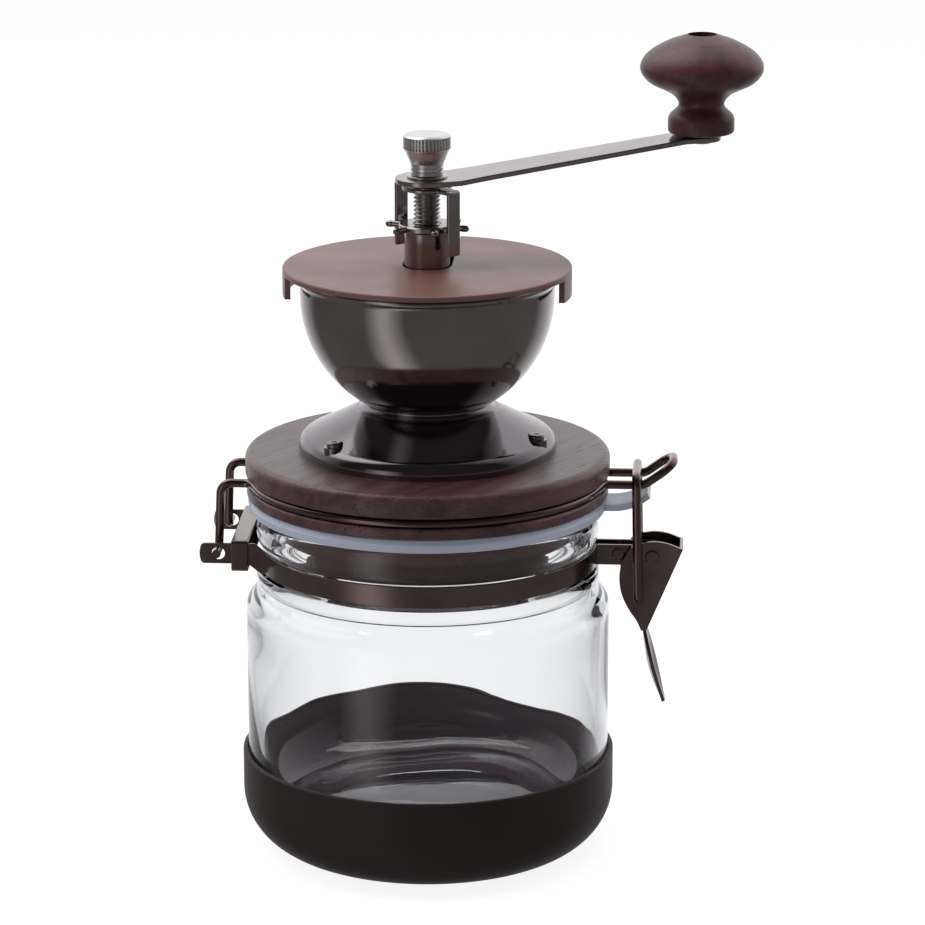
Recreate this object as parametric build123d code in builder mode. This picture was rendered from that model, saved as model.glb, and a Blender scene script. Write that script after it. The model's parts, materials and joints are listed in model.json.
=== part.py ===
"""Hand crank coffee grinder: glass canister, hinged wooden lid, bean bowl, ceramic burrs and crank.

Units are millimetres, +Z is up and the origin is the centre of the face the canister stands on.
+X points from the lid hinge to the latch, and the front of the grinder faces -Y.
"""
import os
from math import atan2, cos, degrees, radians, sin, sqrt

from build123d import *

# ---------------------------------------------------------------- driving dimensions
FIT = 0.1                    # radial running clearance of pins and wires
SHEET = 1.0                  # sheet metal of the band, lever and bowl

BOOT_RADIUS = 56.0
BOOT_HEIGHT = 30.3
BOOT_CORNER = 18.5
BOOT_FLOOR = 2.4
BOOT_HOLE = 9.0

JAR_RADIUS = 54.4
JAR_WALL = 3.2
JAR_FLOOR = 12.0
JAR_SHOULDER_Z = 75.0
NECK_RADIUS = 50.8
NECK_BORE = 47.0
BEAD_RADIUS = 51.3
BEAD_Z = (83.2, 87.6)
GROOVE_RADIUS = 49.7
RIM_Z = (95.2, 105.4)

BAND_INNER = 49.8
BAND_OUTER = 50.8
BAND_Z = (88.5, 94.7)
LOOP_X = (-57.0, -52.0)      # the loop that holds the two halves of the band at the hinge
LOOP_HEIGHT = 9.4

HINGE_X = -61.4              # axis of the lid hinge
HINGE_Z = 94.5
HINGE_EAR_Y = 18.3
HINGE_HOLE = 1.95
HINGE_HOLE_SHIFT = 0.5       # the wire rests on the outer side of its holes
EAR_HALF = 3.1               # half height of an ear
EAR_BULGE = 0.7              # how far the rounded end of a hinge ear stands out
WIRE_RADIUS = 1.3
WIRE_LEG_Y = 12.0
WIRE_RING_RADIUS = 52.6
WIRE_RING_Z = 114.3
CATCH_HALF = 6.9             # half width of the catch loop
CATCH_CORNER_X = 64.6
CATCH_TIP = (73.2, 120.5)

PIVOT_X = 67.3               # axis of the latch lever
PIVOT_Z = 91.9
LATCH_EAR_Y = 2.85
LATCH_EAR_HOLE = 1.5
RIVET_X = 57.2
LEVER_HALF = 6.2
LEVER_PIN_RADIUS = 1.4
WEB_TOP = (76.4, 94.4)       # X and Z of the plate that closes the lever's outer side
WEB_FOOT = (65.8, 69.0)
LEAF_TOP = (65.2, 70.2)      # X and Z of the ends of the dished thumb leaf
LEAF_TIP = (71.6, 45.4)
LEAF_SECTIONS = (            # distance from the top as a share, half width, depth of the dish
    (0.0, 3.4, 0.1),
    (0.15, 4.6, 0.5),
    (0.4, 7.3, 1.2),
    (0.62, 6.6, 1.25),
    (0.85, 3.6, 0.55),
    (1.0, 1.2, 0.1),
)
BAIL_RADIUS = 1.35
BAIL_HALF = 10.2
BAIL_PIVOT = (63.2, 79.0)
BAIL_TOP = (62.4, 117.05)

LID_RADIUS = 54.3
LID_LOWER_RADIUS = 53.9
LID_Z = (109.4, 122.8)
LID_GROOVE_Z = (112.9, 115.8)
LID_CORE_RADIUS = 51.2
LID_HOLE = 27.6
PLUG_RADIUS = 43.0           # the turned plug under the lid, which stands in the jar's neck
PLUG_Z = 95.2
FLANGE_POCKET = 3.0          # depth of the pocket in the plug's face that takes the housing's flange

GASKET_INNER = 43.05
GASKET_OUTER = 53.2
GASKET_TAB_END = 65.6
GASKET_TAB_HALF = 6.6

SKIRT_RADIUS = 38.4
SKIRT_NECK = 18.7
SKIRT_TOP_Z = 137.6
SKIRT_WALL = 1.2
SCREW_CIRCLE = 34.6
SCREW_AZIMUTH = -18.0
SCREW_SEAT_Z = 128.9
SCREW_SHANK = 1.45
SCREW_HEAD = 2.3
SCREW_HEAD_HEIGHT = 1.5
CLAMP_NUT_HEIGHT = 2.4

BOWL_RADIUS = 37.6
BOWL_CENTRE_Z = 170.2
BOWL_RIM_RADIUS = 38.5
BOWL_RIM_Z = 176.6

HOPPER_LID_RADIUS = 42.65
HOPPER_LID_Z = (176.9, 178.5)
HOPPER_SLOT_HALF = 7.3
HOPPER_TAB_DROP = 6.6
HOPPER_TAB_WIDTH = 24.0
HOPPER_TAB_SHEET = 1.6

SPINDLE_RADIUS = 4.0
SPINDLE_Z = (96.0, 213.2)
THREAD_PITCH = 1.25
THREAD_DEPTH = 0.6
THREAD_Z = (191.6, 200.4)

NUT_SLEEVE_RADIUS = 6.7
NUT_Z = (169.9, 189.2, 191.2)
NUT_PRONGS = 6
NUT_PRONG_REACH = 13.0
NUT_PRONG_WIDTH = 2.5
NUT_PRONG_AZIMUTH = -15.0

STOPPER_AZIMUTH = -45.0
STOPPER_TOP_Z = 202.4
STOPPER_FOOT_Z = 183.0
STOPPER_REACH = 12.3
STOPPER_WIDTH = 4.5
STOPPER_SHEET = 1.3

ARM_AZIMUTH = 18.7
ARM_THICKNESS = 1.6
ARM_Z = (203.3, 211.7)       # underside at the spindle and at the knob
ARM_REACH = 84.2
ARM_HUB = 9.4
ARM_KNOB_END = 6.0
ARM_RISE_FROM = 8.5
ARM_RISE_TO = 78.0

CAP_TOP_Z = 217.8
CAP_KNURL_Z = 213.0
CAP_COLLAR_Z = 208.8
CAP_RADIUS = 7.0
CAP_COLLAR = 4.9
CAP_KNURLS = 40

KNOB_BASE_Z = 214.0
KNOB_PIN_RADIUS = 2.5
PIN_HEAD_Z = (237.2, 238.6)
PIN_FOOT = 0.8               # thickness of the pin's foot under the arm
KNOB_WASHER = 0.4

FLANGE_RADIUS = 38.6
HOUSING_RADIUS = 27.0
BURR_RING_RADIUS = 24.3
BURR_Z = (106.0, 122.0)
BURR_SHELF = 2.4             # lip of the housing that carries the outer burr
INNER_BURR_RADIUS = 19.2
INNER_BURR_Z = (105.0, 121.0)
CARRIER_THICKNESS = 2.4
BURR_NUT_HEIGHT = 4.4
SPRING_TOP_Z = 130.6
SPRING_WIRE = 0.7
SPRING_PITCH = 2.6
HUB_Z = (132.0, 166.5)       # tube that holds the two spindle bushes
HUB_RADIUS = 6.3
HUB_BORE = 5.1
SPOKES_Z = 133.7

os.makedirs("parts", exist_ok=True)


def save(builder, name):
    """Label a finished piece and write its STEP file."""
    builder.part.label = name
    export_step(builder.part, f"parts/{name}.step")


def ring(inner, outer, low, high):
    """A plain ring about the Z axis."""
    with BuildPart() as piece:
        with BuildSketch(Plane.XY.offset(low)):
            Circle(outer)
            Circle(inner, mode=Mode.SUBTRACT)
        extrude(amount=high - low)
    return piece


def screw_places():
    """The three screws that clamp the skirt, the wooden lid and the burr housing together."""
    return PolarLocations(SCREW_CIRCLE, 3, start_angle=SCREW_AZIMUTH)


def polar(radius, azimuth):
    """X and Y of a point at a radius and an azimuth in degrees."""
    return radius * cos(radians(azimuth)), radius * sin(radians(azimuth))


# ---------------------------------------------------------------- canister: boot and glass
foot_flat = BOOT_RADIUS - BOOT_CORNER
boot_gap = 0.05
glass_corner = BOOT_CORNER - (BOOT_RADIUS - JAR_RADIUS)
glass_flat = JAR_RADIUS - glass_corner
slope = sqrt(0.5)

with BuildPart() as base_boot:
    with BuildSketch(Plane.XZ):
        with BuildLine():
            Polyline((BOOT_HOLE, BOOT_FLOOR - boot_gap), (BOOT_HOLE, 0.0), (foot_flat, 0.0))
            ThreePointArc(
                (foot_flat, 0.0),
                (foot_flat + BOOT_CORNER * slope, BOOT_CORNER * (1 - slope)),
                (BOOT_RADIUS, BOOT_CORNER),
            )
            Polyline(
                (BOOT_RADIUS, BOOT_CORNER),
                (BOOT_RADIUS, BOOT_HEIGHT),
                (JAR_RADIUS + boot_gap, BOOT_HEIGHT),
                (JAR_RADIUS + boot_gap, BOOT_FLOOR + glass_corner),
            )
            ThreePointArc(
                (JAR_RADIUS + boot_gap, BOOT_FLOOR + glass_corner),
                (glass_flat + (glass_corner + boot_gap) * slope,
                 BOOT_FLOOR + glass_corner - (glass_corner + boot_gap) * slope),
                (glass_flat, BOOT_FLOOR - boot_gap),
            )
            Line((glass_flat, BOOT_FLOOR - boot_gap), (BOOT_HOLE, BOOT_FLOOR - boot_gap))
        make_face()
    revolve(axis=Axis.Z)
    rim_edges = base_boot.edges().filter_by(GeomType.CIRCLE).group_by(Axis.Z)[-1]
    fillet(rim_edges, 0.6)
save(base_boot, "base_boot")

bore = JAR_RADIUS - JAR_WALL
inner_corner = glass_corner - JAR_WALL
floor_z = BOOT_FLOOR + JAR_FLOOR
with BuildPart() as glass_jar:
    with BuildSketch(Plane.XZ):
        with BuildLine():
            Line((0.0, BOOT_FLOOR), (glass_flat, BOOT_FLOOR))
            ThreePointArc(
                (glass_flat, BOOT_FLOOR),
                (glass_flat + glass_corner * slope, BOOT_FLOOR + glass_corner * (1 - slope)),
                (JAR_RADIUS, BOOT_FLOOR + glass_corner),
            )
            Polyline((JAR_RADIUS, BOOT_FLOOR + glass_corner), (JAR_RADIUS, JAR_SHOULDER_Z))
            Spline(
                (JAR_RADIUS, JAR_SHOULDER_Z),
                (52.9, 78.4),
                (NECK_RADIUS, 80.6),
                tangents=((0, 1), (-0.3, 1)),
            )
            Line((NECK_RADIUS, 80.6), (NECK_RADIUS, BEAD_Z[0]))
            ThreePointArc(
                (NECK_RADIUS, BEAD_Z[0]),
                (BEAD_RADIUS, (BEAD_Z[0] + BEAD_Z[1]) / 2),
                (NECK_RADIUS, BEAD_Z[1]),
            )
            Polyline(
                (NECK_RADIUS, BEAD_Z[1]),
                (GROOVE_RADIUS, BEAD_Z[1] + 0.6),
                (GROOVE_RADIUS, RIM_Z[0]),
            )
            ThreePointArc(
                (GROOVE_RADIUS, RIM_Z[0]),
                (BEAD_RADIUS, RIM_Z[0] + 3.0),
                (NECK_RADIUS, RIM_Z[0] + 6.0),
            )
            Line((NECK_RADIUS, RIM_Z[0] + 6.0), (NECK_RADIUS, RIM_Z[1] - 2.0))
            ThreePointArc(
                (NECK_RADIUS, RIM_Z[1] - 2.0),
                ((NECK_RADIUS + NECK_BORE) / 2, RIM_Z[1]),
                (NECK_BORE, RIM_Z[1] - 2.0),
            )
            Line((NECK_BORE, RIM_Z[1] - 2.0), (NECK_BORE, 82.0))
            Spline((NECK_BORE, 82.0), (49.4, 77.6), (bore, 73.0), tangents=((0.2, -1), (0, -1)))
            Line((bore, 73.0), (bore, floor_z + inner_corner))
            ThreePointArc(
                (bore, floor_z + inner_corner),
                (bore - inner_corner * (1 - slope), floor_z + inner_corner * (1 - slope)),
                (bore - inner_corner, floor_z),
            )
            Polyline(
                (bore - inner_corner, floor_z),
                (0.0, floor_z + 0.8),
                (0.0, BOOT_FLOOR),
            )
        make_face()
    revolve(axis=Axis.Z)
save(glass_jar, "glass_jar")

# ---------------------------------------------------------------- neck band with its ears
HINGE_EAR_Z = (HINGE_Z - EAR_HALF, HINGE_Z + EAR_HALF)
ear_end = HINGE_X - 4.4
ear_corner = 1.3
band_end_x = -sqrt(BAND_INNER ** 2 - (HINGE_EAR_Y - SHEET / 2) ** 2)
latch_root_x = sqrt(BAND_INNER ** 2 - LATCH_EAR_Y ** 2)


def band_half(side):
    """Half of the neck band: side -1 is the front half and +1 the rear half."""
    hinge_plane = Plane.XZ.offset(-side * (HINGE_EAR_Y + SHEET / 2))
    latch_plane = Plane.XZ.offset(-side * (LATCH_EAR_Y + SHEET / 2))
    with BuildPart() as piece:
        with BuildSketch(Plane.XY.offset(BAND_Z[0])):
            Circle(BAND_OUTER)
            Circle(BAND_INNER, mode=Mode.SUBTRACT)
            near = side * (LATCH_EAR_Y - SHEET / 2)
            far = side * (HINGE_EAR_Y - SHEET / 2)
            clear = 2 * BAND_OUTER
            with BuildLine():
                Polyline(
                    (-clear, far), (band_end_x, far), (-20, near), (clear, near),
                    (clear, side * clear), (-clear, side * clear), close=True,
                )
            make_face(mode=Mode.INTERSECT)
        extrude(amount=BAND_Z[1] - BAND_Z[0])
        with BuildSketch(hinge_plane) as ear:
            with BuildLine():
                Polyline(
                    (ear_end, HINGE_EAR_Z[1]),
                    (band_end_x - 3.6, HINGE_EAR_Z[1]),
                    (band_end_x, BAND_Z[1]),
                    (band_end_x, BAND_Z[0]),
                    (band_end_x - 2.0, BAND_Z[0]),
                    (band_end_x - 5.6, HINGE_EAR_Z[0]),
                    (ear_end, HINGE_EAR_Z[0]),
                )
                ThreePointArc(
                    (ear_end, HINGE_EAR_Z[0]),
                    (ear_end - EAR_BULGE, HINGE_Z),
                    (ear_end, HINGE_EAR_Z[1]),
                )
            make_face()
            fillet(ear.vertices().sort_by(Axis.X)[:2], ear_corner)
            with Locations((HINGE_X + HINGE_HOLE_SHIFT, HINGE_Z)):
                Circle(HINGE_HOLE, mode=Mode.SUBTRACT)
        extrude(amount=side * SHEET)
        with BuildSketch(latch_plane):
            with BuildLine():
                Polyline(
                    (PIVOT_X, BAND_Z[1]), (latch_root_x, BAND_Z[1]),
                    (latch_root_x, BAND_Z[0]), (PIVOT_X, BAND_Z[0]),
                )
                ThreePointArc(
                    (PIVOT_X, BAND_Z[0]),
                    (PIVOT_X + EAR_HALF, (BAND_Z[0] + BAND_Z[1]) / 2),
                    (PIVOT_X, BAND_Z[1]),
                )
            make_face()
            with Locations((PIVOT_X, PIVOT_Z), (RIVET_X, PIVOT_Z)):
                Circle(LATCH_EAR_HOLE, mode=Mode.SUBTRACT)
        extrude(amount=side * SHEET)
    return piece


band_front = band_half(-1)
band_rear = band_half(1)
save(band_front, "band_front")
save(band_rear, "band_rear")

loop_half = HINGE_EAR_Y + SHEET / 2 + 0.1
with BuildPart() as hinge_loop:
    with BuildSketch(Plane.YZ.offset(LOOP_X[0])):
        with Locations((0, HINGE_Z - 0.5)):
            RectangleRounded(2 * (loop_half + SHEET), LOOP_HEIGHT, 0.9)
            Rectangle(2 * loop_half, LOOP_HEIGHT - 2 * SHEET, mode=Mode.SUBTRACT)
    extrude(amount=LOOP_X[1] - LOOP_X[0])
save(hinge_loop, "hinge_loop")


def cross_pin(x, z, shank, head, half_length, head_thickness):
    """A pin along Y with a domed head on each end."""
    with BuildPart() as piece:
        with BuildSketch(Plane.XZ.offset(-half_length)):
            with Locations((x, z)):
                Circle(shank)
        extrude(amount=2 * half_length)
        for side in (-1, 1):
            with BuildSketch(Plane.XZ.offset(side * half_length)):
                with Locations((x, z)):
                    Circle(head)
            extrude(amount=side * head_thickness)
        circles = piece.edges().filter_by(GeomType.CIRCLE)
        ends = circles.filter_by(lambda edge: abs(edge.radius - head) < 0.01).group_by(Axis.Y)
        fillet(ends[0] + ends[-1], head_thickness * 0.6)
    return piece


ear_rivet = cross_pin(RIVET_X, PIVOT_Z, 1.45, 1.9, LATCH_EAR_Y + SHEET / 2, 0.7)
save(ear_rivet, "ear_rivet")
lever_pin = cross_pin(PIVOT_X, PIVOT_Z, LEVER_PIN_RADIUS, 2.1, LEVER_HALF + 0.1, 0.6)
save(lever_pin, "lever_pin")

# ---------------------------------------------------------------- wooden lid, gasket and wire
wire_turn = 3.2


def plus_side(points, side):
    """The same route on the +Y or the -Y side."""
    return [(x, side * y, z) for x, y, z in points]


leg_route = [
    (HINGE_X, HINGE_EAR_Y + 1.3, HINGE_Z),
    (HINGE_X, WIRE_LEG_Y, HINGE_Z),
    (HINGE_X + 0.8, WIRE_LEG_Y, WIRE_RING_Z),
    (HINGE_X + 6.0, WIRE_LEG_Y, WIRE_RING_Z),
]
ring_start = -sqrt(WIRE_RING_RADIUS ** 2 - WIRE_LEG_Y ** 2)
ring_end = sqrt(WIRE_RING_RADIUS ** 2 - CATCH_HALF ** 2)
start_angle = degrees(atan2(WIRE_LEG_Y, ring_start))
end_angle = degrees(atan2(CATCH_HALF, ring_end))
catch_start = 58.0

with BuildLine(Plane.XY.offset(WIRE_RING_Z)) as front_ring:
    Line((HINGE_X + 6.0, -WIRE_LEG_Y), (ring_start, -WIRE_LEG_Y))
    CenterArc((0, 0), WIRE_RING_RADIUS, -start_angle, start_angle - end_angle)
    Line((ring_end, -CATCH_HALF), (catch_start, -CATCH_HALF))
    corners = front_ring.vertices().filter_by(
        lambda v: abs(sqrt(v.X ** 2 + v.Y ** 2) - WIRE_RING_RADIUS) < 0.01
    )
    fillet(corners, wire_turn)

with BuildPart() as lid_wire:
    with BuildLine() as wire_path:
        FilletPolyline(*plus_side(leg_route, -1), radius=wire_turn)
        add(front_ring.line)
        FilletPolyline(
            (catch_start, -CATCH_HALF, WIRE_RING_Z),
            (CATCH_CORNER_X, -CATCH_HALF, WIRE_RING_Z),
            (CATCH_TIP[0], -CATCH_HALF, CATCH_TIP[1]),
            (CATCH_TIP[0], CATCH_HALF, CATCH_TIP[1]),
            (CATCH_CORNER_X, CATCH_HALF, WIRE_RING_Z),
            (catch_start, CATCH_HALF, WIRE_RING_Z),
            radius=[5.0, 5.0, 5.0, 5.0],
        )
        add(mirror(front_ring.line, about=Plane.XZ, mode=Mode.PRIVATE))
        FilletPolyline(*reversed(plus_side(leg_route, 1)), radius=wire_turn)
    with BuildSketch(Plane(origin=plus_side(leg_route, -1)[0], z_dir=(0, 1, 0))):
        Circle(WIRE_RADIUS)
    sweep(path=wire_path.wires()[0])
save(lid_wire, "lid_wire")

with BuildPart() as wood_lid:
    with BuildSketch(Plane.XY.offset(LID_Z[0])):
        Circle(LID_LOWER_RADIUS)
    extrude(amount=LID_GROOVE_Z[0] - LID_Z[0])
    with BuildSketch(Plane.XY.offset(LID_GROOVE_Z[1])):
        Circle(LID_RADIUS)
    extrude(amount=LID_Z[1] - LID_GROOVE_Z[1])
    rims = wood_lid.edges().filter_by(GeomType.CIRCLE).group_by(Axis.Z)
    fillet(rims[-1], 2.2)
    fillet(rims[0] + rims[1] + rims[2], 0.8)
    with BuildSketch(Plane.XY.offset(LID_Z[0])):
        Circle(LID_CORE_RADIUS)
    extrude(amount=LID_Z[1] - LID_Z[0])
    with BuildSketch(Plane.XY.offset(PLUG_Z)):
        Circle(PLUG_RADIUS)
    extrude(amount=LID_Z[0] - PLUG_Z)
    fillet(wood_lid.edges().filter_by(GeomType.CIRCLE).group_by(Axis.Z)[0], 1.2)
    with BuildSketch(Plane.XY.offset(PLUG_Z)):
        Circle(FLANGE_RADIUS + 0.2)
    extrude(amount=FLANGE_POCKET, mode=Mode.SUBTRACT)
    with BuildSketch(Plane.XY.offset(PLUG_Z)):
        Circle(LID_HOLE)
        with screw_places():
            Circle(SCREW_SHANK + 0.3)
    extrude(amount=LID_Z[1] - PLUG_Z, mode=Mode.SUBTRACT)
save(wood_lid, "wood_lid")

with BuildPart() as gasket:
    with BuildSketch(Plane.XZ):
        with BuildLine():
            Polyline(
                (GASKET_INNER, LID_Z[0]), (GASKET_INNER, 107.6), (46.4, 107.2), (47.6, 105.9),
                (50.4, 105.9), (GASKET_OUTER, 105.6), (GASKET_OUTER + 0.4, 107.6),
                (GASKET_OUTER - 0.4, LID_Z[0]), close=True,
            )
        make_face()
    revolve(axis=Axis.Z)
    with BuildSketch(Plane.XZ.offset(-GASKET_TAB_HALF)):
        with BuildLine():
            Spline(
                (51.0, 107.9), (57.5, 108.1), (62.0, 109.4), (GASKET_TAB_END, 111.6),
                tangents=((1, 0), (1, 0.7)),
            )
            Line((GASKET_TAB_END, 111.6), (GASKET_TAB_END + 0.9, 110.1))
            Spline(
                (GASKET_TAB_END + 0.9, 110.1), (62.6, 107.6), (57.8, 106.2), (51.0, 106.1),
                tangents=((-1, -0.7), (-1, 0)),
            )
            Line((51.0, 106.1), (51.0, 107.9))
        make_face()
    extrude(amount=2 * GASKET_TAB_HALF)
save(gasket, "gasket")

# ---------------------------------------------------------------- skirt, bowl and screws
with BuildPart() as mill_skirt:
    with BuildSketch(Plane.XZ):
        with BuildLine():
            Polyline((16.2, SKIRT_TOP_Z), (SKIRT_NECK, SKIRT_TOP_Z), (SKIRT_NECK, 137.2))
            ThreePointArc((SKIRT_NECK, 137.2), (19.5, 136.2), (21.4, 135.5))
            Line((21.4, 135.5), (35.6, 128.3))
            ThreePointArc((35.6, 128.3), (37.7, 126.6), (SKIRT_RADIUS, 124.4))
            Polyline(
                (SKIRT_RADIUS, 124.4),
                (SKIRT_RADIUS, LID_Z[1]),
                (SKIRT_RADIUS - SKIRT_WALL, LID_Z[1]),
                (SKIRT_RADIUS - SKIRT_WALL, 124.4),
            )
            ThreePointArc((SKIRT_RADIUS - SKIRT_WALL, 124.4), (36.6, 126.0), (35.0, 127.2))
            Polyline((35.0, 127.2), (21.0, 134.3), (16.2, 136.2), (16.2, SKIRT_TOP_Z))
        make_face()
    revolve(axis=Axis.Z)
    with BuildSketch(Plane.XY.offset(SCREW_SEAT_Z - 2.6)):
        with screw_places():
            Circle(3.1)
    extrude(amount=2.6)
    with BuildSketch(Plane.XY.offset(LID_Z[1])):
        with screw_places():
            Circle(SCREW_SHANK + 0.15)
    extrude(amount=10, mode=Mode.SUBTRACT)
    with BuildSketch(Plane.XY.offset(SCREW_SEAT_Z)):
        with screw_places():
            Circle(2.6)
    extrude(amount=4, mode=Mode.SUBTRACT)
save(mill_skirt, "mill_skirt")

bowl_inner = BOWL_RADIUS - SHEET
cut_drop = BOWL_CENTRE_Z - SKIRT_TOP_Z
bowl_foot_outer = sqrt(BOWL_RADIUS ** 2 - cut_drop ** 2)
bowl_foot_inner = sqrt(bowl_inner ** 2 - cut_drop ** 2)
with BuildPart() as hopper_bowl:
    with BuildSketch(Plane.XZ):
        with BuildLine():
            RadiusArc((bowl_foot_outer, SKIRT_TOP_Z), (BOWL_RADIUS, BOWL_CENTRE_Z), -BOWL_RADIUS)
            Line((BOWL_RADIUS, BOWL_CENTRE_Z), (BOWL_RADIUS, 173.2))
            Spline(
                (BOWL_RADIUS, 173.2), (BOWL_RIM_RADIUS, 174.9), (37.6, BOWL_RIM_Z), (36.9, 175.7),
                tangents=((0.2, 1), (-0.2, -1)),
            )
            Polyline((36.9, 175.7), (bowl_inner, 174.0), (bowl_inner, BOWL_CENTRE_Z))
            RadiusArc((bowl_inner, BOWL_CENTRE_Z), (bowl_foot_inner, SKIRT_TOP_Z), bowl_inner)
            Line((bowl_foot_inner, SKIRT_TOP_Z), (bowl_foot_outer, SKIRT_TOP_Z))
        make_face()
    revolve(axis=Axis.Z)
save(hopper_bowl, "hopper_bowl")

nut_face = PLUG_Z + 0.2
nut_foot = nut_face - CLAMP_NUT_HEIGHT
screw_foot = nut_foot - 0.8
with BuildPart() as skirt_screws:
    with BuildSketch(Plane.XY.offset(screw_foot)):
        with screw_places():
            Circle(SCREW_SHANK)
    extrude(amount=SCREW_SEAT_Z - screw_foot)
    with BuildSketch(Plane.XY.offset(SCREW_SEAT_Z)):
        with screw_places():
            Circle(SCREW_HEAD)
    extrude(amount=SCREW_HEAD_HEIGHT)
    tops = skirt_screws.faces().sort_by(Axis.Z)[-3:]
    fillet(tops.edges(), 0.7)
    with BuildSketch(Plane.XY.offset(SCREW_SEAT_Z + SCREW_HEAD_HEIGHT)):
        with screw_places():
            Rectangle(2.2, 0.5)
            Rectangle(0.5, 2.2)
    extrude(amount=-0.9, mode=Mode.SUBTRACT)
save(skirt_screws, "skirt_screws")

with BuildPart() as housing_nuts:
    with BuildSketch(Plane.XY.offset(nut_foot)):
        with screw_places():
            RegularPolygon(3.1, 6)
            Circle(SCREW_SHANK + 0.02, mode=Mode.SUBTRACT)
    extrude(amount=CLAMP_NUT_HEIGHT)
save(housing_nuts, "housing_nuts")

# ---------------------------------------------------------------- burrs, housing and bearings
flange_top = PLUG_Z + FLANGE_POCKET
chute = HOUSING_RADIUS - 2.2
chamber = BURR_RING_RADIUS + FIT
with BuildPart() as burr_housing:
    with BuildSketch(Plane.XZ):
        with BuildLine():
            Polyline(
                (chute, nut_face), (FLANGE_RADIUS, nut_face), (FLANGE_RADIUS, flange_top),
                (HOUSING_RADIUS, flange_top), (HOUSING_RADIUS, 128.0), (17.9, 133.6), (16.3, 133.6),
                (16.3, 132.6), (chamber, 127.0), (chamber, BURR_Z[0]), (20.6, BURR_Z[0]),
                (20.6, BURR_Z[0] - BURR_SHELF), (chute, BURR_Z[0] - BURR_SHELF), close=True,
            )
        make_face()
    revolve(axis=Axis.Z)
    with BuildSketch(Plane.XY.offset(nut_face)):
        with screw_places():
            Circle(SCREW_SHANK + 0.1)
    extrude(amount=FLANGE_POCKET, mode=Mode.SUBTRACT)
save(burr_housing, "burr_housing")

with BuildPart() as outer_burr:
    with BuildSketch(Plane.XZ):
        with BuildLine():
            Polyline(
                (BURR_RING_RADIUS, BURR_Z[0]), (BURR_RING_RADIUS, BURR_Z[1]), (22.4, BURR_Z[1]),
                (20.0, BURR_Z[0] + 4.0), (19.8, BURR_Z[0]), close=True,
            )
        make_face()
    revolve(axis=Axis.Z)
    with BuildSketch(Plane.XY.offset(BURR_Z[0])):
        with PolarLocations(20.3, 24):
            Rectangle(1.8, 1.6)
    extrude(amount=BURR_Z[1] - BURR_Z[0], mode=Mode.SUBTRACT)
save(outer_burr, "outer_burr")

with BuildPart() as inner_burr:
    with BuildSketch(Plane.XZ):
        with BuildLine():
            Polyline(
                (SPINDLE_RADIUS + 0.05, INNER_BURR_Z[0]), (INNER_BURR_RADIUS, INNER_BURR_Z[0]),
                (INNER_BURR_RADIUS, INNER_BURR_Z[0] + 3.0), (9.5, INNER_BURR_Z[1]),
                (SPINDLE_RADIUS + 0.05, INNER_BURR_Z[1]), close=True,
            )
        make_face()
    revolve(axis=Axis.Z)
    with BuildSketch(Plane.XY.offset(INNER_BURR_Z[0])):
        with PolarLocations(INNER_BURR_RADIUS - 0.3, 20):
            Rectangle(1.8, 1.4)
    extrude(amount=6.0, mode=Mode.SUBTRACT)
    with BuildSketch(Plane.XY.offset(INNER_BURR_Z[0] + 5.5)):
        with PolarLocations(16.0, 5):
            Rectangle(12.0, 3.4)
    extrude(amount=12.0, mode=Mode.SUBTRACT)
save(inner_burr, "inner_burr")

carrier_low = INNER_BURR_Z[0] - CARRIER_THICKNESS
burr_carrier = ring(SPINDLE_RADIUS + 0.05, 15.0, carrier_low, INNER_BURR_Z[0])
save(burr_carrier, "burr_carrier")
with BuildPart() as burr_nut:
    with BuildSketch(Plane.XY.offset(carrier_low - BURR_NUT_HEIGHT)):
        RegularPolygon(7.5, 6)
        Circle(SPINDLE_RADIUS + 0.02, mode=Mode.SUBTRACT)
    extrude(amount=BURR_NUT_HEIGHT)
save(burr_nut, "burr_nut")

coil_start = INNER_BURR_Z[1] + SPRING_WIRE + 0.05
coil_end = SPRING_TOP_Z - SPRING_WIRE - 0.05
with BuildPart() as burr_spring:
    with BuildLine() as coil:
        Helix(
            pitch=SPRING_PITCH, height=coil_end - coil_start, radius=6.2, center=(0, 0, coil_start)
        )
    with BuildSketch(Plane(origin=coil.line @ 0, z_dir=coil.line % 0)):
        Circle(SPRING_WIRE)
    sweep()
save(burr_spring, "burr_spring")
spring_washer = ring(SPINDLE_RADIUS + 0.05, 7.6, SPRING_TOP_Z, SPRING_TOP_Z + 0.8)
save(spring_washer, "spring_washer")

with BuildPart() as spindle_bracket:
    with BuildSketch(Plane.XY.offset(HUB_Z[0])):
        Circle(HUB_RADIUS)
    extrude(amount=HUB_Z[1] - HUB_Z[0])
    with BuildSketch(Plane.XY.offset(SPOKES_Z)):
        Circle(15.9)
        Circle(13.4, mode=Mode.SUBTRACT)
        with PolarLocations(10.0, 3, start_angle=SCREW_AZIMUTH):
            Rectangle(9.0, 3.0)
    extrude(amount=5.5)
    with BuildSketch(Plane.XY.offset(SPOKES_Z)):
        Circle(17.6)
        Circle(15.0, mode=Mode.SUBTRACT)
    extrude(amount=1.5)
    with BuildSketch(Plane.XY.offset(HUB_Z[0])):
        Circle(HUB_BORE)
    extrude(amount=HUB_Z[1] - HUB_Z[0], mode=Mode.SUBTRACT)
save(spindle_bracket, "spindle_bracket")


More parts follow.
